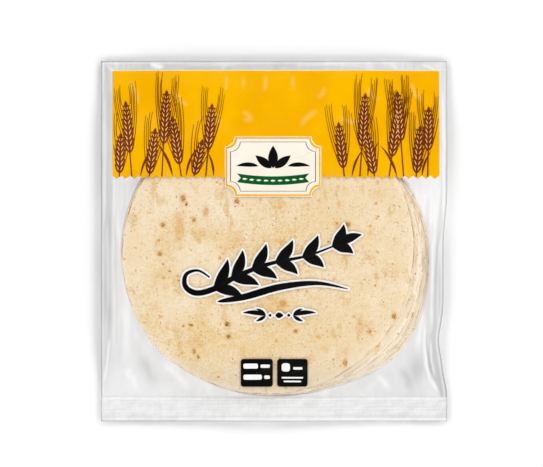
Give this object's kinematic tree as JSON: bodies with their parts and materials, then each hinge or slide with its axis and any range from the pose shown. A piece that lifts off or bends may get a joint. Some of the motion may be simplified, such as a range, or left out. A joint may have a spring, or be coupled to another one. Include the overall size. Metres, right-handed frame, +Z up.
{
  "type": "packed lavash flatbread",
  "caption": "Round, thin wheat flatbreads stacked in a sealed clear film bag with a yellow printed band across one end.",
  "frame": {"origin": "middle of the bag's outline, on the surface that the pack rests on", "axes": "+X across the bag to the right seen from above, +Y along the bag towards the printed end, +Z up through the stack"},
  "size_m": [0.357, 0.3714, 0.017],
  "materials": {
    "clear_film": "clear glossy film over pale bread"
  },
  "bodies": {
    "root": {"flatbread_pack": "clear_film"}
  },
  "joints": []
}
